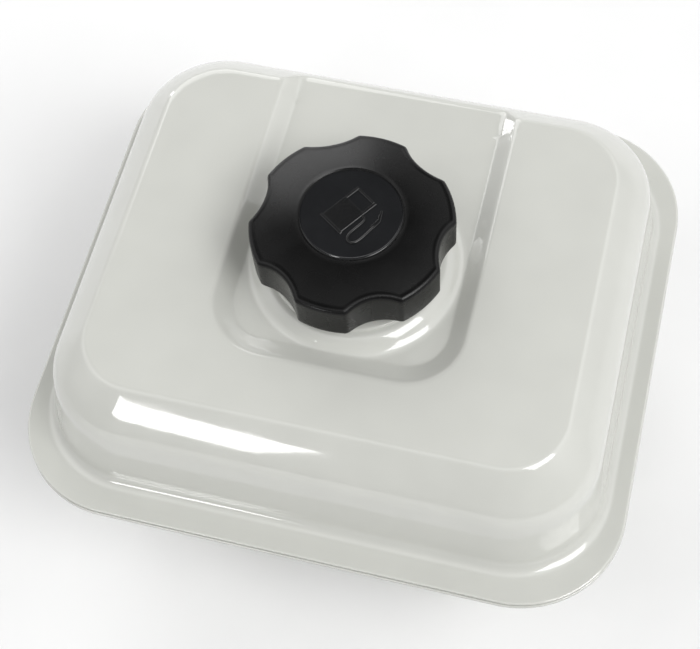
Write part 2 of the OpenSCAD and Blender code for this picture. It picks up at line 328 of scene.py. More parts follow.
def settle(piece, angle=SMOOTH_UNDER):
    """Puts the place into the mesh, merges doubles, turns faces outwards and smooths."""
    bpy.ops.object.select_all(action="DESELECT")
    piece.select_set(True)
    bpy.context.view_layer.objects.active = piece
    bpy.ops.object.transform_apply(location=True, rotation=True, scale=True)
    bpy.ops.object.mode_set(mode="EDIT")
    bpy.ops.mesh.select_all(action="SELECT")
    bpy.ops.mesh.remove_doubles(threshold=MERGE * MM)
    bpy.ops.mesh.normals_make_consistent(inside=False)
    bpy.ops.object.mode_set(mode="OBJECT")
    bpy.ops.object.shade_smooth_by_angle(angle=math.radians(angle))
    return piece


def finish_piece(piece, name, body, material, stands_for=()):
    """Names a piece, gives it its finish and hands it to the CAD body that carries it."""
    piece.name = name
    piece.data.name = name
    piece.data.materials.clear()
    piece.data.materials.append(material)
    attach(piece, body)
    if stands_for:
        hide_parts(*stands_for)
    triangles = sum(len(p.vertices) - 2 for p in piece.data.polygons)
    print(f"{name}: {triangles} triangles")
    return piece


def formed_grid(around, along, place):
    """A flat grid whose points move to place(turn, step): shares from 0 to 1 in, millimetres out."""
    piece = add(bpy.ops.mesh.primitive_grid_add, size=1, x_subdivisions=around,
                y_subdivisions=along)
    flat = np.empty(3 * len(piece.data.vertices))
    piece.data.vertices.foreach_get("co", flat)
    flat = flat.reshape(-1, 3)
    turn = np.round((flat[:, 0] - flat[:, 0].min()) * around / np.ptp(flat[:, 0])) / around
    step = np.round((flat[:, 1] - flat[:, 1].min()) * along / np.ptp(flat[:, 1])) / along
    formed = np.stack(place(turn, step), axis=1) * MM
    piece.data.vertices.foreach_set("co", formed.ravel())
    piece.data.update()
    return piece


def corner_curve(start, corner, end, samples):
    """Points on the curve that leaves start towards a corner and arrives at end from it."""
    return [start * (1 - s) ** 2 + corner * 2 * s * (1 - s) + end * s * s
            for s in np.linspace(0, 1, samples)]


print("modelling helpers ready")

# %% [markdown]
# ## The pressed shells
# Each shell is one sheet pressed between two dies. A press keeps the sheet's order of points and
# only gives them heights, so a grid is formed the same way: rings that follow the tank's outline,
# from the filler hole outwards over the flat top, the sloping band and the wall to the flange.
# The corners between those faces are curves, because sheet can't be pressed to a sharp edge.
# Building the recess with a boolean cut would leave sharp edges and long thin faces that spoil
# reflections in gloss paint, so its floor, walls and soft edges are part of the height instead.

# %% Sizes of the upper shell, in millimetres
# Heights are above the flange. The recess has an outline at its floor and one at its top edge:
# half its width, the Y of its closed end and its corner radius.
TOP_H = 42.5
CROWN_H = 36.4
SHOULDER_H = 29.5
HOLE_R = 25.4
RECESS_DEPTH = 5.5
RECESS_H = TOP_H - RECESS_DEPTH
FLOOR_OUTLINE = (38.8, -36.8, 15.2)
TOP_OUTLINE = (44.6, -45.0, 21.0)
PAD_H = 4.6
PAD_FOOT_R = 37.5
PAD_TOP_R = 33.0

# The sheet in plan: half its length, half its depth and its corner radius.
FLANGE_EDGE = (110.0, 99.0, 38.0)
FLANGE_INSIDE = (109.4, 98.4, 37.6)
WALL_FOOT = (101.5, 86.8, 34.0)
print("recess floor at Z", round(FLANGE_TOP + RECESS_H, 2), "top at Z", round(FLANGE_TOP + TOP_H, 2))


def smooth_least(a, b, soft):
    """The smaller of two heights, with a round edge where they cross."""
    near = np.maximum(soft - np.abs(a - b), 0) / soft
    return np.minimum(a, b) - near * near * soft / 4


def smooth_most(a, b, soft):
    """The larger of two heights, with a round edge where they cross."""
    return -smooth_least(-a, -b, soft)


def rounded_outline(half_x, half_y, radius, turn, straight=0.26, arc_end=0.52):
    """Points on rounded rectangles. Turn runs 0 to 1 from +X; a quarter is side, arc, side."""
    quarter = np.floor(turn * 4 - 1e-9 * (turn > 0.999)).astype(int)
    t = turn * 4 - quarter
    t = np.where(quarter % 2 == 1, 1 - t, t)
    on_y = np.clip(t / straight, 0, 1)
    on_arc = np.clip((t - straight) / (arc_end - straight), 0, 1) * math.pi / 2
    on_x = np.clip((1 - t) / (1 - arc_end), 0, 1)
    x = (half_x - radius) * on_x + radius * np.cos(on_arc)
    y = (half_y - radius) * on_y + radius * np.sin(on_arc)
    side_x = np.where((quarter == 1) | (quarter == 2), -1, 1)
    side_y = np.where(quarter >= 2, -1, 1)
    return x * side_x, y * side_y


def soft_path(corners, cuts, samples=8):
    """Rings [half x, half y, radius, height] with each inner corner rounded by a curve."""
    corners = [np.array(c, float) for c in corners]
    rings = [corners[0]]
    for before, here, after, cut in zip(corners, corners[1:], corners[2:], cuts):
        def toward(other):
            length = math.hypot(other[0] - here[0], other[3] - here[3])
            return here + (other - here) * min(0.5, cut / length)
        rings += corner_curve(toward(before), here, toward(after), samples)
    rings.append(corners[-1])
    return np.array(rings)


def fill_gaps(rings, longest):
    """Adds rings in between, so that no two are further apart than longest."""
    filled = [rings[0]]
    for a, b in zip(rings, rings[1:]):
        count = max(1, math.ceil(np.linalg.norm(b - a) / longest))
        filled += [a + (b - a) * s / count for s in range(1, count + 1)]
    return np.array(filled)


# %% Height of the recess and of the round pad in it
# How softly the recess wall bends at its foot, as a share of its rise, and how softly the other
# edges bend, in millimetres of height.
FOOT_SOFT = 0.08
EDGE_SOFT = 1.0
PAD_TOP_SOFT = 2.8
PAD_FOOT_SOFT = 2.4
PAD_REACH = 45


def outline_distance(x, y, half_x, near_y, radius):
    """Distance outside a recess outline that is closed at -Y and open at +Y."""
    across = np.abs(x) - (half_x - radius)
    along = (near_y + radius) - y
    outside = np.hypot(np.maximum(across, 0), np.maximum(along, 0))
    return outside + np.minimum(np.maximum(across, along), 0) - radius


def recessed(x, y, height):
    """Lowers a height over the flat top where the recess is pressed in, and raises the pad."""
    from_floor = outline_distance(x, y, *FLOOR_OUTLINE)
    from_top = outline_distance(x, y, *TOP_OUTLINE)
    rise = from_floor / np.maximum(from_floor - from_top, 1e-6)
    rise = np.where(from_floor - from_top < 1e-6, np.sign(from_floor) * 9, rise)
    wall = RECESS_H + RECESS_DEPTH * (rise + np.sqrt(rise * rise + FOOT_SOFT ** 2)) / 2
    pressed = smooth_least(height, np.minimum(wall, 99), EDGE_SOFT)
    radius = np.hypot(x, y)
    cone = RECESS_H + PAD_H * (PAD_FOOT_R - radius) / (PAD_FOOT_R - PAD_TOP_R)
    pad = smooth_least(np.full_like(cone, RECESS_H + PAD_H), cone, PAD_TOP_SOFT)
    return np.where(radius < PAD_REACH, smooth_most(pressed, pad, PAD_FOOT_SOFT), pressed)


print("height at the filler:", recessed(np.zeros(1), np.zeros(1), np.full(1, TOP_H)).round(2))


# %% The upper shell
# A ring here is: half its length, its lowest and highest Y, its corner radius at -Y and at +Y,
# and its height. The rings run along the recess walls, so that the pressed edges stay clean, and
# turn the corner just before the sloping band that the recess runs out through.
HOLE_ROWS = 28
AROUND = 464
RINGS_END_Y = 61.0
RINGS_END_R = 1.5


def wall_ring(share):
    """The ring on the recess wall: share is 0 at the wall's foot and 1 at its top edge."""
    foot, top = np.array(FLOOR_OUTLINE), np.array(TOP_OUTLINE)
    half, low, corner = foot + (top - foot) * share
    return [half, low, RINGS_END_Y + 1.5 * share, corner, RINGS_END_R, TOP_H]


def body_ring(half_x, half_y, corner, height):
    """A ring of the shell's body, which is as deep at -Y as at +Y."""
    return [half_x, -half_y, half_y, corner, corner, height]


def upper_rings():
    """All rings from the foot of the recess wall to the flange's edge."""
    wall = [wall_ring(share) for share in
            (-0.2, -0.1, -0.04, 0.02, 0.1, 0.3, 0.6, 0.85, 0.94, 1.0, 1.06, 1.2)]
    body = soft_path([(*FLANGE_EDGE, -0.35), (*FLANGE_INSIDE, 0.0), (*WALL_FOOT, 0.0),
                      (97.2, 81.6, 31.5, SHOULDER_H), (91.3, 75.1, 26.5, CROWN_H),
                      (84.6, 67.8, 21.5, TOP_H), (82.0, 65.2, 19.9, TOP_H)],
                     [0.4, 4.5, 4.0, 8.0, 1.6], 6)
    body = [body_ring(*ring) for ring in fill_gaps(body, 2.6)[::-1]]
    first, last = np.array(wall[-1]), np.array(body[0])
    flat = [first + (last - first) * share for share in np.linspace(0, 1, 22)[1:-1] ** 1.7]
    return np.array(wall + flat + body)


def upper_place(turn, step):
    """The rings from the flange to the recess, then in to the filler hole."""
    rings = upper_rings()
    index = np.round(step * UPPER_ROWS).astype(int)
    ring = rings[np.maximum(index - HOLE_ROWS, 0)]
    corner = np.where(turn < 0.5, ring[:, 4], ring[:, 3])
    x, y = rounded_outline(ring[:, 0], (ring[:, 2] - ring[:, 1]) / 2, corner, turn)
    y = y + (ring[:, 1] + ring[:, 2]) / 2
    inwards = np.clip(1 - index / HOLE_ROWS, 0, 1)
    reach = np.hypot(x, y)
    x = x + (x / reach * HOLE_R - x) * inwards
    y = y + (y / reach * HOLE_R - y) * inwards
    return x, y, recessed(x, y, ring[:, 5]) + FLANGE_TOP


UPPER_ROWS = HOLE_ROWS + len(upper_rings()) - 1
print("rings from the hole to the flange:", UPPER_ROWS)
upper_shell = settle(formed_grid(AROUND, UPPER_ROWS, upper_place))
modify(upper_shell, "SOLIDIFY", thickness=SHEET * MM, offset=-1)
finish_piece(upper_shell, "upper_shell_pressing", "tank", ENAMEL, ["upper_shell"])

# %% [markdown]
# ## The lower shell
# The pan is pressed the same way and hangs below the seam. Two shallow beads across its bottom
# keep the sheet from drumming. Its middle is a single point, where the rings close.

# %% The lower shell
PAN_DEPTH = 57.0
BEAD_MIDDLE_X = -8
BEAD_HALF = 50
BEAD_Y = 17
BEAD_R = 5.0
BEAD_H = 1.5


def bead(x, y):
    """Height of the two beads: straight ribs with round ends, pressed inwards."""
    past_end = np.maximum(np.abs(x - BEAD_MIDDLE_X) - BEAD_HALF, 0)
    off = np.hypot(past_end, np.abs(y) - BEAD_Y) / BEAD_R
    return BEAD_H * np.clip(1 - off * off, 0, 1) ** 1.5


def lower_place(turn, step):
    """From the pan's middle to the flange's edge. A ring's last value is its depth below the seam."""
    rings = fill_gaps(soft_path([
        (*FLANGE_EDGE, 0.75), (*FLANGE_INSIDE, SHEET), (*WALL_FOOT, SHEET),
        (97.0, 82.0, 31.0, PAN_DEPTH), (60.0, 45.0, 12.0, PAN_DEPTH)], [0.4, 4.5, 14.0]), 3.0)[::-1]
    inner_share = 0.42
    s = np.clip((step - inner_share) / (1 - inner_share), 0, 1) * (len(rings) - 1)
    low = np.minimum(s.astype(int), len(rings) - 2)
    part = (s - low)[:, None]
    ring = rings[low] * (1 - part) + rings[low + 1] * part
    x, y = rounded_outline(ring[:, 0], ring[:, 1], ring[:, 2], turn)
    outwards = np.clip(step / inner_share, 0, 1)
    x, y = x * outwards, y * outwards
    return x, y, SEAM - ring[:, 3] + bead(x, y) * (ring[:, 3] > PAN_DEPTH - 0.01)


lower_shell = settle(formed_grid(360, 96, lower_place))
modify(lower_shell, "SOLIDIFY", thickness=SHEET * MM, offset=-1)
finish_piece(lower_shell, "lower_shell_pressing", "tank", ENAMEL, ["lower_shell"])

# %% [markdown]
# ## The cap
# The cover is a body of revolution with six hand grips scooped out of its skirt. Its surface is
# formed from rings too: each ring follows the gripped outline at the edge and turns into a circle
# towards the centre disc. That keeps the rounded top edge even all the way round, which a bevel
# along a cut edge can't do where two scoops nearly meet.

# %% Sizes of the cap, in millimetres
CAP_R = 35.3
GRIPS = 6
GRIP_TURN = math.radians(-4)
GRIP_R = 17.7
GRIP_CENTRE = 49.1
DISC_R = 17.4
CAP_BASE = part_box("cap_cover")[0].z / MM
CAP_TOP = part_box("cap_cover")[1].z / MM
SKIRT_H = 13.2
EDGE_R = 2.0
EDGE_DROP = 1.8
GROOVE_END = 0.85
FOOT_EDGE = 0.25


def gripped_radius(angle):
    """Radius of the cap's outline in a direction, with the lobes' corners rounded."""
    step = 2 * math.pi / GRIPS
    off = (angle - GRIP_TURN + step / 2) % step - step / 2
    inside = GRIP_R ** 2 - (GRIP_CENTRE * np.sin(off)) ** 2
    scoop = GRIP_CENTRE * np.cos(off) - np.sqrt(np.maximum(inside, 0))
    scoop = np.where(inside > 0, scoop, CAP_R + 40 * np.abs(off))
    return smooth_least(np.full_like(scoop, CAP_R), scoop, 1.1)


def gripped_outline(angle):
    """Points of the outline and the directions that point into the cap from it."""
    small = 1e-3

    def point(a):
        r = gripped_radius(a)
        return np.stack([r * np.cos(a), r * np.sin(a)], axis=-1)

    here = point(angle)
    along = point(angle + small) - point(angle - small)
    inward = np.stack([-along[..., 1], along[..., 0]], axis=-1)
    return here, inward / np.linalg.norm(inward, axis=-1, keepdims=True)


def dome(radius):
    """Height of the cap's top: flat disc, then a gentle fall to the rounded edge."""
    rim_r = CAP_R - EDGE_R
    fall = np.clip((radius - DISC_R) / (rim_r - DISC_R), 0, None)
    return CAP_TOP - (CAP_TOP - CAP_BASE - SKIRT_H - EDGE_DROP) * fall ** 1.2


print("cap from Z", round(CAP_BASE, 2), "to", round(CAP_TOP, 2))

# %% The cap's cover
def cover_rings():
    """Stations of the surface: kind, then how far in and how high."""
    top = [("disc", r, 0.0) for r in np.linspace(0.0, DISC_R - 1.0, 12)]
    groove = [("disc", DISC_R + d, h) for d, h in
              [(-0.6, 0.0), (-0.35, 0.05), (-0.2, -0.12), (0.0, -0.35), (0.25, -0.42),
               (0.5, -0.35), (0.7, -0.1), (GROOVE_END, 0.0)]]
    slope = [("slope", s, 0.0) for s in np.linspace(0.06, 1.0, 22)]
    edge = [("edge", EDGE_R * (1 - math.sin(a)), EDGE_DROP * (1 - math.cos(a)))
            for a in np.linspace(0.12, math.pi / 2, 9)]
    wall = [("wall", 0.0, s) for s in np.linspace(0.1, 0.95, 8)]
    base = [("base", d, h) for d, h in [(0.0, FOOT_EDGE), (FOOT_EDGE, 0.0), (0.7, 0.0)]]
    inside = [("bore", 29.3, 0.0), ("bore", 29.0, 0.3), ("bore", 29.0, 6.0), ("bore", 29.0, 11.0),
              ("bore", 24.0, 11.0), ("bore", 24.0, 15.0), ("bore", 12.0, 15.0), ("bore", 0.0, 15.0)]
    return top + groove + slope + edge + wall + base + inside


def cover_place(turn, step):
    """From the middle of the disc over the edge, down the skirt and up inside the cover."""
    stations = cover_rings()
    which = np.round(step * (len(stations) - 1)).astype(int)
    angle = turn * 2 * math.pi
    out, inward = gripped_outline(angle)
    x, y, z = np.empty_like(turn), np.empty_like(turn), np.empty_like(turn)
    shoulder = out + inward * EDGE_R
    shoulder_r = np.hypot(shoulder[:, 0], shoulder[:, 1])
    shoulder_z = dome(shoulder_r)
    for index, (kind, a, b) in enumerate(stations):
        here = which == index
        ray = np.stack([np.cos(angle[here]), np.sin(angle[here])], axis=-1)
        if kind == "disc":
            spot, height = ray * a, CAP_TOP + b
        elif kind == "slope":
            start = DISC_R + GROOVE_END
            spot = ray * start * (1 - a) + shoulder[here] * a
            height = dome(np.hypot(spot[:, 0], spot[:, 1]))
        elif kind == "edge":
            spot = out[here] + inward[here] * a
            height = shoulder_z[here] - b
        elif kind == "wall":
            spot = out[here]
            top = shoulder_z[here] - EDGE_DROP
            height = top + (CAP_BASE + FOOT_EDGE - top) * b
        elif kind == "base":
            spot = out[here] + inward[here] * a
            height = CAP_BASE + b
        else:
            spot, height = ray * a, CAP_BASE + b
        x[here], y[here], z[here] = spot[:, 0], spot[:, 1], height
    return x, y, z


cap_cover = settle(formed_grid(720, len(cover_rings()) - 1, cover_place), 50)
finish_piece(cap_cover, "cap_cover_moulding", "cap", CAP_GRAIN, ["cap_cover"])

# The disc was polished in the mould: its faces take the smooth finish, whose lighter, bluer
# colour is a painted reflection.
cap_cover.data.materials.append(CAP_SMOOTH_PAINTED_REFLECTION)
for face in cap_cover.data.polygons:
    middle = face.center / MM
    if math.hypot(middle.x, middle.y) < DISC_R - 0.1 and middle.z > CAP_TOP - 0.5:
        face.material_index = 1

# %% [markdown]
# ## The pump sign on the disc
# The sign tells what the cap is for. It was cut into the mould, so it stands a third of a
# millimetre proud: a satin body with an open window, a foot, a hose that runs down and turns back
# up, and a nozzle. Low blocks with sloping edges make the body, and a round curve the hose.

# %% The pump sign
SIGN_TURN = math.radians(-35)
SIGN_H = 0.32
SIGN_SUNK = 0.3
SIGN_EDGE = 0.14
SIGN_SLOPE = 0.09
HOSE_R = 0.5


def on_disc(u, v):
    """A point of the sign, turned into place, in millimetres."""
    return (u * math.cos(SIGN_TURN) - v * math.sin(SIGN_TURN),
            u * math.sin(SIGN_TURN) + v * math.cos(SIGN_TURN))


def sign_block(corners):
    """A low block with the given corners: extruded, then its top is inset and raised."""
    block = add(bpy.ops.mesh.primitive_circle_add, vertices=len(corners), fill_type="NGON")
    for vertex, (u, v) in zip(block.data.vertices, corners):
        x, y = on_disc(u, v)
        vertex.co = Vector((x, y, CAP_TOP - SIGN_SUNK)) * MM
    bpy.ops.object.mode_set(mode="EDIT")
    bpy.ops.mesh.select_all(action="SELECT")
    bpy.ops.mesh.extrude_region_move(
        TRANSFORM_OT_translate={"value": (0, 0, (SIGN_SUNK + SIGN_H) * MM)})
    bpy.ops.mesh.inset(thickness=SIGN_EDGE * MM, depth=0)
    bpy.ops.transform.translate(value=(0, 0, SIGN_SLOPE * MM))
    bpy.ops.object.mode_set(mode="OBJECT")
    return settle(block, 25)


def joined(pieces):
    """Joins pieces into the first one."""
    bpy.ops.object.select_all(action="DESELECT")
    for piece in pieces:
        piece.select_set(True)
    bpy.context.view_layer.objects.active = pieces[0]
    bpy.ops.object.join()
    return bpy.context.object


def sign_hose(route):
    """A round rib along a smooth curve that lies half sunk in the disc."""
    curve = add(bpy.ops.curve.primitive_nurbs_path_add)
    spline = curve.data.splines[0]
    spline.points.add(len(route) - len(spline.points))
    for point, (u, v) in zip(spline.points, route):
        x, y = on_disc(u, v)
        point.co = (x * MM, y * MM, CAP_TOP * MM, 1)
    spline.use_endpoint_u = True
    spline.order_u = 3
    spline.resolution_u = 10
    curve.data.bevel_depth = HOSE_R * MM
    curve.data.bevel_resolution = 3
    curve.data.use_fill_caps = True
    bpy.ops.object.convert(target="MESH")
    return settle(curve, 50)


BARS = [(-6.3, -7.2, 3.2, 3.0), (-6.7, -8.0, 3.6, -7.1), (-6.3, 3.0, -5.4, 8.5),
        (2.2, 3.0, 3.2, 8.5), (-5.5, 7.7, 2.3, 8.5)]
pump_body = joined([sign_block([(left, low), (right, low), (right, high), (left, high)])
                    for left, low, right, high in BARS])
pump_hose = sign_hose([(3.0, 2.2), (4.9, 1.9), (5.3, 0.2), (5.3, -3.0), (5.4, -5.8), (6.4, -7.7),
                       (8.6, -7.7), (9.6, -5.8), (9.5, -1.5), (9.0, 2.2)])
pump_nozzle = sign_block([(8.1, 1.2), (9.6, 1.6), (9.2, 5.0), (6.6, 8.4), (6.1, 7.9), (8.0, 4.6)])
finish_piece(joined([pump_body, pump_hose, pump_nozzle]), "cap_pump_sign", "cap",
             CAP_SIGN)

# %% [markdown]
# ## Turned and pressed small parts
# A lathe part is a profile that goes round an axis, so a ring of points is laid along the profile
# and the spin tool carries it round. Every corner of the profile gets a short curve first,
# because a real edge is never perfectly sharp and the curve is what catches the light.

# %% Spinning a profile
def softened(profile, cut=0.3, samples=4):
    """A closed profile whose corners off the axis are rounded by short curves."""
    points = [np.array(p, float) for p in profile]
    soft = []
    for before, here, after in zip(points[-1:] + points[:-1], points, points[1:] + points[:1]):
        if here[0] < 0.001:
            soft.append(here)
            continue
        start = here + (before - here) * min(0.45, cut / np.linalg.norm(before - here))
        end = here + (after - here) * min(0.45, cut / np.linalg.norm(after - here))
        soft += corner_curve(start, here, end, samples)
    return soft


def turned(profile, centre=(0, 0), cut=0.3, steps=96, base=0):
    """Spins a closed profile of (radius, height above the base) round a vertical axis."""
    points = softened([(radius, base + height) for radius, height in profile], cut)
    piece = add(bpy.ops.mesh.primitive_circle_add, vertices=len(points))
    for vertex, (radius, height) in zip(piece.data.vertices, points):
        vertex.co = Vector((radius, 0, height)) * MM
    bpy.ops.object.mode_set(mode="EDIT")
    bpy.ops.mesh.select_all(action="SELECT")
    bpy.ops.mesh.spin(steps=steps, angle=math.tau, center=(0, 0, 0), axis=(0, 0, 1))
    bpy.ops.object.mode_set(mode="OBJECT")
    piece.location = (centre[0] * MM, centre[1] * MM, 0)
    return settle(piece, 40)


def ring(inner, outer, low, high, cut=0.3):
    """A turned ring with a rectangular section."""
    return turned([(inner, low), (outer, low), (outer, high), (inner, high)], cut=cut)


def rod(radius, length, middle, sides, turn=0):
    """An upright cylinder or prism about its middle point."""
    return add(bpy.ops.mesh.primitive_cylinder_add, vertices=sides, radius=radius * MM,
               depth=length * MM, location=[c * MM for c in middle], rotation=(0, 0, turn))


def cut_by(piece, cutter, operation="DIFFERENCE"):
    """Cuts one piece by another, which is deleted."""
    modify(piece, "BOOLEAN", object=cutter, operation=operation, solver="EXACT")
    bpy.data.objects.remove(cutter)
    return piece


def block(low, high, edge=0.25):
    """A box between two corners with bevelled edges."""
    middle = [(a + b) / 2 * MM for a, b in zip(low, high)]
    piece = add(bpy.ops.mesh.primitive_cube_add, size=1, location=middle)
    piece.scale = [(b - a) * MM for a, b in zip(low, high)]
    settle(piece)
    if edge:
        modify(piece, "BEVEL", width=edge * MM, segments=2, limit_method="NONE")
    return piece


def flatten_shading(piece):
    """Keeps large flat faces flat where small bevels meet them."""
    settle(piece, 40)
    modify(piece, "WEIGHTED_NORMAL", keep_sharp=True)
    return piece


print("a softened square has", len(softened([(1, 0), (2, 0), (2, 1), (1, 1)])), "points")

# %% [markdown]
# ## The filler neck
# The neck is a short steel tube, seamed to the pad by a collar. Its rim is rolled inwards to make
# the lip that the gasket seals on, with two notches for the cap's ears. Behind each notch the
# underside of the lip dips: that is the cam that draws the cap tight, and it ends at a stop. The
# lip changes with direction, so the tube is formed from a grid like the shells.

# %% Filler neck
NECK_R = 25.0
NECK_INNER_R = 23.8
MOUTH_R = 19.5
NOTCH_R = 23.0
NOTCH_HALF = 6.2
LIP = 1.2
DRAW = 1.5
RIM_Z = CAP_BASE + 8.0
RECESS_Z = FLANGE_TOP + TOP_H - RECESS_DEPTH
PAD_Z = RECESS_Z + PAD_H
NECK_FOOT_Z = RECESS_Z - SHEET


def lip_edge(angle):
    """Radius of the mouth: round, with a straight-sided notch on each side."""
    notch = smooth_least(NOTCH_R / np.maximum(np.abs(np.cos(angle)), 1e-6),
                         NOTCH_HALF / np.maximum(np.abs(np.sin(angle)), 1e-6), 0.6)
    return np.minimum(smooth_most(np.full_like(angle, MOUTH_R), notch, 0.8), NECK_INNER_R)


def lip_under(angle):
    """Height of the lip's underside: thin, then the sloping cam, then the stop."""
    turned_by = np.degrees(-angle) % 180
    cam = 3.5 + DRAW * (turned_by - 20) / 90
    depth = np.interp(turned_by, [18.7, 20.2], [LIP, 3.5])
    depth = np.where(turned_by > 20.2, cam, depth)
    depth = np.where(turned_by > 95, np.interp(turned_by, [95, 96.5], [4.75, LIP]), depth)
    stop = np.interp(turned_by, [106.4, 107.2, 112.8, 113.6], [LIP, 7, 7, LIP])
    return RIM_Z - np.maximum(depth, np.where(turned_by > 100, stop, 0))


def neck_stations(edge, under):
    """Radius and height of each row, for the mouth's radius and the lip's underside there."""
    inner, least = NECK_INNER_R, np.minimum
    collar = [(30.5, -0.1), (30.4, 0.7), (30.1, 1.05), (29.6, 1.2), (27.4, 1.2), (26.2, 1.3),
              (25.5, 1.7), (25.1, 2.4), (NECK_R, 3.2)]
    rim = [(NECK_R, -1.6), (24.9, -0.9), (24.7, -0.45), (24.4, -0.12), (24.0, 0),
           (least(edge + 0.6, 24.0), 0), (least(edge + 0.25, 23.95), -0.1),
           (least(edge + 0.05, 23.9), -0.35), (edge, -0.7)]
    lip = [(edge, 0.3), (least(edge + 0.1, inner), 0.08), (least(edge + 0.4, inner), 0),
           (inner - 0.3, 0), (inner - 0.05, -0.15), (inner, -0.5)]
    ledge = [(inner, 2.0), (inner - 0.2, 1.4), (inner - 0.8, 1.2), (17.8, 1.2), (17.5, 0.9),
             (17.5, 0.3), (17.8, 0), (24.0, 0), (24.8, 0.3), (NECK_R, 1.0)]
    back = [(NECK_R, -0.1), (30.5, -0.1)]
    return [(radius, base + height) for base, rows in
            ((PAD_Z, collar), (RIM_Z, rim), (under, lip), (NECK_FOOT_Z, ledge), (PAD_Z, back))
            for radius, height in rows]


def neck_place(turn, step):
    """Over the collar, up the tube, round the lip, down inside to the ledge and back."""
    angle = turn * math.tau
    stations = neck_stations(lip_edge(angle), lip_under(angle))
    index = np.round(step * (len(stations) - 1)).astype(int)
    radius, height = np.empty_like(turn), np.empty_like(turn)
    for number, (r, z) in enumerate(stations):
        here = index == number
        radius[here] = np.broadcast_to(r, turn.shape)[here]
        height[here] = np.broadcast_to(z, turn.shape)[here]
    return radius * np.cos(angle), radius * np.sin(angle), height


NECK_ROWS = len(neck_stations(0, 0)) - 1
neck = settle(formed_grid(480, NECK_ROWS, neck_place), 40)
finish_piece(neck, "filler_neck_tube", "tank", ENAMEL, ["filler_neck"])

# %% [markdown]
# ## The strainer
# A nylon cage hangs in the neck and keeps dirt out of the tank. Its gauze is woven brass, and you
# can see through it. A tube of small squares becomes wires with the Wireframe modifier, so the
# openings are real and no transparency is needed.

# %% Strainer cage and gauze
LEDGE_Z = NECK_FOOT_Z + 1.2
BASKET_Z = 78.0
BASKET_R = 14.75
HOOPS_Z = (93.0, 107.0)
POSTS = 6
POST_R = 15.8
GAUZE_WIRE = 0.26

cage = [ring(15.2, 19.2, LEDGE_Z, LEDGE_Z + 2), ring(14.95, 16.7, LEDGE_Z - 6, LEDGE_Z + 0.2),
        ring(10, 16.7, BASKET_Z - 2, BASKET_Z)]
cage += [ring(15.0, 16.5, hoop, hoop + 1.2) for hoop in HOOPS_Z]
for number in range(POSTS):
    around = math.tau * number / POSTS
    middle = (POST_R * math.cos(around), POST_R * math.sin(around), (LEDGE_Z + BASKET_Z) / 2)
    cage.append(settle(rod(0.8, LEDGE_Z - BASKET_Z, middle, 20)))
finish_piece(flatten_shading(joined(cage)), "strainer_cage", "tank", DARK_NYLON,
             ["strainer_frame"])


def gauze_place(turn, step):
    """Down the basket's side and then in over its bottom."""
    side = 0.78
    angle = turn * math.tau
    down = np.clip(step / side, 0, 1)
    inwards = np.clip((step - side) / (1 - side), 0, 1)
    radius = BASKET_R - (BASKET_R - 0.8) * inwards
    return (radius * np.cos(angle), radius * np.sin(angle),
            LEDGE_Z - 0.2 + (BASKET_Z + 0.2 - LEDGE_Z) * down)


gauze = settle(formed_grid(76, 52, gauze_place))
modify(gauze, "WIREFRAME", thickness=GAUZE_WIRE * MM, use_replace=True, use_even_offset=False)
finish_piece(gauze, "strainer_gauze", "tank", BRASS, ["strainer_mesh"])

# %% [markdown]
# ## The outlet
# A bush is welded under the pan, and the joint for the fuel hose screws into it with an O-ring
# between them. The joint is a hexagon bar turned down at both ends. The chamfer on a hexagon comes
# from the lathe, so the prism is cut by a turned shape, which leaves the curved edges that
# every nut and bolt head has.

# %% Outlet bush and joint
OUTLET = (70.0, -12.0)
PAN_Z = SEAM - PAN_DEPTH
BUSH = 6.0
SEAT_Z = PAN_Z - BUSH - 1.6

bush = turned([(5.0, -BUSH), (9.0, -BUSH), (9.0, -2.0), (9.5, -0.9), (11.4, -0.1), (5.0, -0.1)],
              OUTLET, 0.4, base=PAN_Z)
finish_piece(flatten_shading(bush), "outlet_bush_turned", "tank", BRACKET_ENAMEL,
             ["outlet_bush"])

hexagon = settle(rod(8.1, 7, (*OUTLET, SEAT_Z - 4.5), 6, math.pi / 6))
lathe_cut = turned([(0, -8), (6.9, -8), (8.3, -7.2), (8.3, -1.8), (7.4, -1), (0, -1)],
                   OUTLET, 0.01, base=SEAT_Z)
cut_by(hexagon, lathe_cut, "INTERSECT")
body = turned([(1.6, 2.0), (2.25, 2.0), (2.75, 2.6), (2.75, SEAT_Z - 8.2), (3.6, SEAT_Z - 7.8),
               (3.6, SEAT_Z - 1.4), (8.6, SEAT_Z - 1.4), (8.6, SEAT_Z), (4.9, SEAT_Z),
               (4.9, PAN_Z + 3.0), (1.6, PAN_Z + 3.0)], OUTLET, 0.15)
finish_piece(flatten_shading(joined([body, hexagon])), "outlet_joint_turned", "tank",
             YELLOW_ZINC, ["outlet_joint"])

# %% [markdown]
# ## Mounting studs
# Two M6 studs hold the tank. A screw thread is a ridge that climbs by its pitch in each turn, so
# the radius depends on height and direction together. A grid round the stud takes that radius.

# %% Mounting studs
STUD_X = 45.0
STUD_Y = -52.0
STUD_R = 3.0
STUD_ROWS = 300
PITCH = 1.0
THREAD_DEPTH = 0.6
THREAD_END = 24.0
PLATE = 2.0
PLATE_Z = PAN_Z - PLATE


def stud_place(turn, step):
    """The first and last rows close the ends, and the rest carry the thread."""
    index = np.round(step * STUD_ROWS)
    z = np.clip((index - 1) / (STUD_ROWS - 2), 0, 1) * PLATE_Z
    ridge = np.abs(2 * ((z / PITCH + turn) % 1) - 1)
    runs_out = np.clip(THREAD_END + 1 - z, 0, 1)
    depth = THREAD_DEPTH * np.clip((ridge - 0.12) / 0.76, 0, 1) * runs_out
    radius = np.minimum(STUD_R - depth, 2.2 + z)
    radius = np.where((index == 0) | (index == STUD_ROWS), 0, radius)
    return radius * np.cos(turn * math.tau), radius * np.sin(turn * math.tau), z


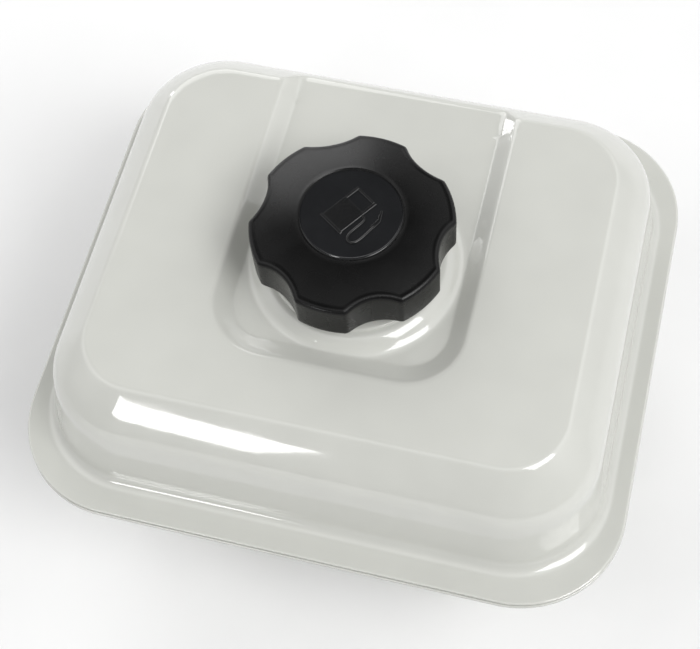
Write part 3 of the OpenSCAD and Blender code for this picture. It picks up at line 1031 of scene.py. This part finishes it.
studs = []
for x in (-STUD_X, STUD_X):
    stud = formed_grid(40, STUD_ROWS, stud_place)
    stud.location = (x * MM, STUD_Y * MM, 0)
    studs += [settle(stud, 60),
              turned([(2.9, -1.5), (4.4, -1.5), (5.0, -0.7), (5.0, 0), (2.9, 0)],
                     (x, STUD_Y), 0.2, base=PLATE_Z)]
finish_piece(joined(studs), "mounting_studs_threaded", "tank", YELLOW_ZINC,
             ["mounting_studs"])

# %% [markdown]
# ## Stud plate and rear bracket
# Both are welded under the pan and painted with it. The plate is a flat stamping. The bracket is
# one strip bent twice, so a grid follows the strip's length through both bends and Solidify gives
# it the sheet's thickness: bent sheet keeps its thickness round a corner, which boxes don't.

# %% Stud plate
def weld_mark(x, y, z):
    """The round dimple that a spot weld leaves in the lower face."""
    return turned([(0, -0.12), (1.7, -0.10), (2.2, -0.42), (2.9, -0.40), (3.4, 0.1), (0, 0.1)],
                  (x, y), 0.2, 40, z)


def break_edges(piece, width):
    """Bevels the sharp edges only."""
    modify(piece, "BEVEL", width=width * MM, segments=2, limit_method="ANGLE",
           angle_limit=math.radians(50))


# A disc whose halves are pulled apart makes the plate's long shape with round ends.
PLATE_R = 13
PLATE_REACH = 49.0
plate = rod(PLATE_R, PLATE, (0, STUD_Y, PLATE_Z + PLATE / 2), 96)
for vertex in plate.data.vertices:
    if abs(vertex.co.x) > 1e-6:
        vertex.co.x += math.copysign(PLATE_REACH * MM, vertex.co.x)
break_edges(settle(plate), 0.35)
marks = [weld_mark(x, STUD_Y + off, PLATE_Z) for x in (-24.0, 0.0, 24.0) for off in (-6.0, 6.0)]
finish_piece(flatten_shading(joined([plate] + marks)), "stud_plate_stamped", "tank",
             BRACKET_ENAMEL, ["stud_plate"])

# %% Rear bracket
# The strip's middle line: along the pan, down, and out along the foot, as Y and Z.
STRIP_T = 2.0
FOOT_Z = 1.0
FOOT_END = 84.0
FOOT_CORNER = 8.0
STRIP_HALF = 22.0
BEND = 3.2
STRIP = [(44.0, PAN_Z - STRIP_T / 2), (61.0, PAN_Z - STRIP_T / 2), (61.0, FOOT_Z),
         (FOOT_END, FOOT_Z)]


def bent_strip():
    """Points along the strip's middle line, with both bends rounded."""
    a, b, c, d = [np.array(p) for p in STRIP]
    line = [a]
    for before, here, after in ((a, b, c), (b, c, d)):
        start = here + (before - here) / np.linalg.norm(before - here) * BEND
        end = here + (after - here) / np.linalg.norm(after - here) * BEND
        line += corner_curve(start, here, end, 9)
    return np.array(line + [np.array([y, FOOT_Z]) for y in np.linspace(65.5, FOOT_END, 38)])


def bracket_place(turn, step):
    """Along the strip and across it. The foot's far corners are round."""
    line = bent_strip()
    index = np.round(turn * (len(line) - 1)).astype(int)
    y, z = line[index, 0], line[index, 1]
    past = np.clip(y - (FOOT_END - FOOT_CORNER), 0, FOOT_CORNER)
    foot_half = STRIP_HALF - FOOT_CORNER + np.sqrt(np.maximum(FOOT_CORNER ** 2 - past ** 2, 0))
    half = np.where(z < 5, foot_half, STRIP_HALF)
    return (2 * step - 1) * half, y, z


bracket = settle(formed_grid(len(bent_strip()) - 1, 24, bracket_place))
modify(bracket, "SOLIDIFY", thickness=STRIP_T * MM, offset=0)
break_edges(cut_by(bracket, rod(3.3, 8, (0, 74.0, FOOT_Z), 64)), 0.3)
marks = [weld_mark(x, 51.0, PAN_Z - STRIP_T) for x in (-14.0, 0.0, 14.0)]
finish_piece(flatten_shading(joined([bracket] + marks)), "rear_bracket_bent", "tank",
             BRACKET_ENAMEL, ["rear_bracket"])

# %% [markdown]
# ## Inside the cap
# A plated disc is pressed into the cover and holds the rubber gasket. A rivet hangs under it and
# carries the ears' plate on a spring. The spring pushes the ears up under the lip, so that the
# gasket stays pressed on the lip when the rubber shrinks.

# %% Inner plate, gasket, rivet and washer
PLATE_UNDER = RIM_Z + 2.0
EAR_TOP = RIM_Z - 3.6
EAR_UNDER = EAR_TOP - 1.2
SPRING_FOOT = EAR_TOP - 10.4
RIVET_HOLE_R = 3.05

inner = [turned([(RIVET_HOLE_R, 0), (11.8, 0), (12.4, -0.5), (14.6, -0.5), (15.2, 0), (28.8, 0),
                 (28.8, 1), (15.6, 1), (14.9, 0.5), (12.1, 0.5), (11.4, 1), (RIVET_HOLE_R, 1)],
                base=PLATE_UNDER)]
for side in (-1, 1):
    low_y, high_y = sorted((side * 15.2, side * 16.4))
    inner.append(block((-3.2, low_y, EAR_TOP - 3.2), (3.2, high_y, PLATE_UNDER + 0.2), 0.3))
finish_piece(flatten_shading(joined(inner)), "cap_inner_plate_pressed", "cap",
             PLATED, ["cap_inner_plate"])

gasket = turned([(18.4, 0.45), (18.9, 0.05), (20.0, 0.05), (20.5, 0.35), (23.7, 0.35),
                 (24.2, 0.05), (25.3, 0.05), (25.8, 0.45), (25.8, 1.98), (18.4, 1.98)],
                cut=0.25, base=RIM_Z)
finish_piece(gasket, "cap_gasket_moulded", "cap", RUBBER, ["cap_gasket"])

valve = turned([(0, -0.8), (1.2, -0.75), (2.6, -0.35), (3.0, -0.1), (1.0, -0.02), (1.0, 1), (0, 1)],
               (10.5, 0), 0.15, 48, PLATE_UNDER)
finish_piece(valve, "vent_valve_moulded", "cap", RUBBER, ["vent_valve"])

rivet = turned([(0, SPRING_FOOT - 2.5), (2.8, SPRING_FOOT - 2.4), (4.7, SPRING_FOOT - 1.9),
                (5.5, SPRING_FOOT - 1.15), (5.3, SPRING_FOOT - 1), (3.0, SPRING_FOOT - 1),
                (3.0, PLATE_UNDER + 1), (5.5, PLATE_UNDER + 1), (5.3, PLATE_UNDER + 1.6),
                (3.4, PLATE_UNDER + 2.5), (0, PLATE_UNDER + 2.6)], cut=0.25)
finish_piece(flatten_shading(rivet), "cap_rivet_headed", "cap_pin", PLATED,
             ["cap_rivet"])

washer = ring(RIVET_HOLE_R, 8.5, SPRING_FOOT - 1, SPRING_FOOT, 0.25)
finish_piece(flatten_shading(washer), "rivet_washer_stamped", "cap_pin", PLATED,
             ["rivet_washer"])

# %% Bayonet plate
ears = ring(RIVET_HOLE_R, 17.2, EAR_UNDER, EAR_TOP, 0.01)
for side in (-1, 1):
    arm_low, arm_high = sorted((side * 12.0, side * 23.5))
    arm = block((arm_low, -5.0, EAR_UNDER), (arm_high, 5.0, EAR_TOP), 0)
    reach = ring(0, 22.5, EAR_UNDER, EAR_TOP, 0.01)
    cut_by(ears, cut_by(arm, reach, "INTERSECT"), "UNION")
for side in (-1, 1):
    slot_low, slot_high = sorted((side * 14.6, side * 19.8))
    cut_by(ears, block((-3.6, slot_low, EAR_TOP - 3), (3.6, slot_high, EAR_TOP + 2), 0))
break_edges(ears, 0.2)
finish_piece(flatten_shading(ears), "bayonet_plate_stamped", "bayonet", PLATED,
             ["bayonet_plate"])

# %% [markdown]
# ## The spring
# Round wire follows a helix whose end turns lie flat. The section is swept along the helix by a
# grid: one direction goes round the wire, the other along it. When the cap is turned, the ears
# come down and the spring shortens.

# %% Spring
COIL_R = 6.2
WIRE_R = 0.7
TURNS = 4.0
END_TURN = 0.6
SPRING_ROWS = 200


def spring_place(turn, step):
    """Turn runs along the wire and step round it. The wire closes to a point at its ends."""
    sides = step * math.tau
    along = turn * TURNS
    rows = np.round(turn * SPRING_ROWS)
    rise = np.clip((along - END_TURN) / (TURNS - 2 * END_TURN), 0, 1)
    foot, top = SPRING_FOOT + WIRE_R, EAR_UNDER - WIRE_R
    wire = np.where((rows == 0) | (rows == SPRING_ROWS), 0, WIRE_R)
    radius = COIL_R + wire * np.cos(sides)
    height = foot + (top - foot) * rise + wire * np.sin(sides)
    return radius * np.cos(along * math.tau), radius * np.sin(along * math.tau), height


spring = settle(formed_grid(SPRING_ROWS, 14, spring_place), 60)
finish_piece(spring, "cap_spring_wound", "cap", SPRING, ["cap_spring"])
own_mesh(spring)

# %% [markdown]
# ## Finishes for the CAD parts that keep their shape
# These parts are simple rings and a tube, and the CAD model already has their true shape.

# %% Finishes by node
for node, material in {"outlet_o_ring": RUBBER, "outlet_screen": BRASS,
                       "vent_filter": FELT}.items():
    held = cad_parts[node]
    held.data.materials.clear()
    held.data.materials.append(material)
    print(f"{node} keeps its mesh and takes {material.name}")

# %% [markdown]
# ## The studio
# A pale floor runs far past the picture. Gloss paint shows its shape by what it reflects, so a
# soft box at the front left draws the long highlight, two large ones at the right and at the back
# left light the tank, and a small one low at the side shines on the end of the recess wall.

# %% Floor and lights
def studio_floor():
    """A sheet of matt paper under the tank."""
    floor = add(bpy.ops.mesh.primitive_plane_add, size=12, location=(0, 0, cad_low.z - 0.2 * MM))
    floor.name = "studio_floor"
    made = Finish("floor_paper", (0.81, 0.81, 0.81), 0.9)
    grain = made.noise(40, 2.0)
    made.set("Base Color", made.mix(grain, (0.80, 0.80, 0.80), (0.83, 0.83, 0.83)))
    floor.data.materials.append(made.material)


def softbox(name, direction, distance, width, height, power, roll=0):
    """A rectangular light that stands in a direction from the tank and faces it."""
    data = bpy.data.lights.new(name, "AREA")
    data.shape = "RECTANGLE"
    data.size = width
    data.size_y = height
    data.energy = power
    lamp = bpy.data.objects.new(name, data)
    bpy.context.scene.collection.objects.link(lamp)
    away = Vector(direction).normalized()
    lamp.location = Vector((0, 0, 0.1)) + away * distance
    facing = away.to_track_quat("Z", "Y").to_matrix()
    lamp.rotation_euler = (facing @ Matrix.Rotation(math.radians(roll), 3, "Z")).to_euler()


studio_floor()
softbox("front_left_box", (-0.285, -0.86, 0.40), 2.4, 0.58, 0.36, 7, -14)
softbox("right_key_box", (0.60, -0.30, 0.74), 2.2, 1.0, 1.0, 23)
softbox("left_key_box", (-0.45, 0.75, 0.50), 2.2, 1.5, 1.5, 17)
softbox("side_box", (-0.78, 0.66, 0.045), 0.9, 0.04, 0.27, 0.2)

# %% The studio's walls and ceiling
# The air is a plain glow that gets stronger with height. It is darker towards the place that the
# cap's flat top reflects to the camera, so that black plastic looks black, and towards the front.
CAP_MIRROR_WAY = (-0.155, 0.427, 0.891)
FRONT_WAY = (0.1, -0.99, 0.0)
world = bpy.data.worlds.new("studio_air")
bpy.context.scene.world = world
world.use_nodes = True
glow = world.node_tree.nodes["Background"]
glow.inputs["Color"].default_value = (1.0, 1.0, 1.0, 1.0)
toward = world.node_tree.nodes.new("ShaderNodeTexCoord")
air = Socket(world.node_tree, toward.outputs["Generated"])


def glow_toward(way, low, high, first, last):
    """Glow that runs from first to last as a direction's likeness to a way goes low to high."""
    like = air.node("ShaderNodeVectorMath", {"operation": "DOT_PRODUCT"}, _0=air, _1=way)
    made = air.node("ShaderNodeMapRange", {"interpolation_type": "SMOOTHSTEP"},
                    Value=Socket(world.node_tree, like.outputs["Value"]),
                    From_Min=low, From_Max=high, To_Min=first, To_Max=last)
    return Socket(world.node_tree, made.outputs["Result"])


strength = (glow_toward((0, 0, 1), 0.0, 0.80, 0.62, 1.78)
            * glow_toward(CAP_MIRROR_WAY, 0.66, 0.88, 1.0, 0.08)
            * glow_toward(FRONT_WAY, 0.15, 0.75, 1.0, 0.18))
feed(world.node_tree, glow.inputs["Strength"], strength)
bpy.context.scene.view_settings.view_transform = "Standard"
bpy.context.scene.view_settings.look = "None"
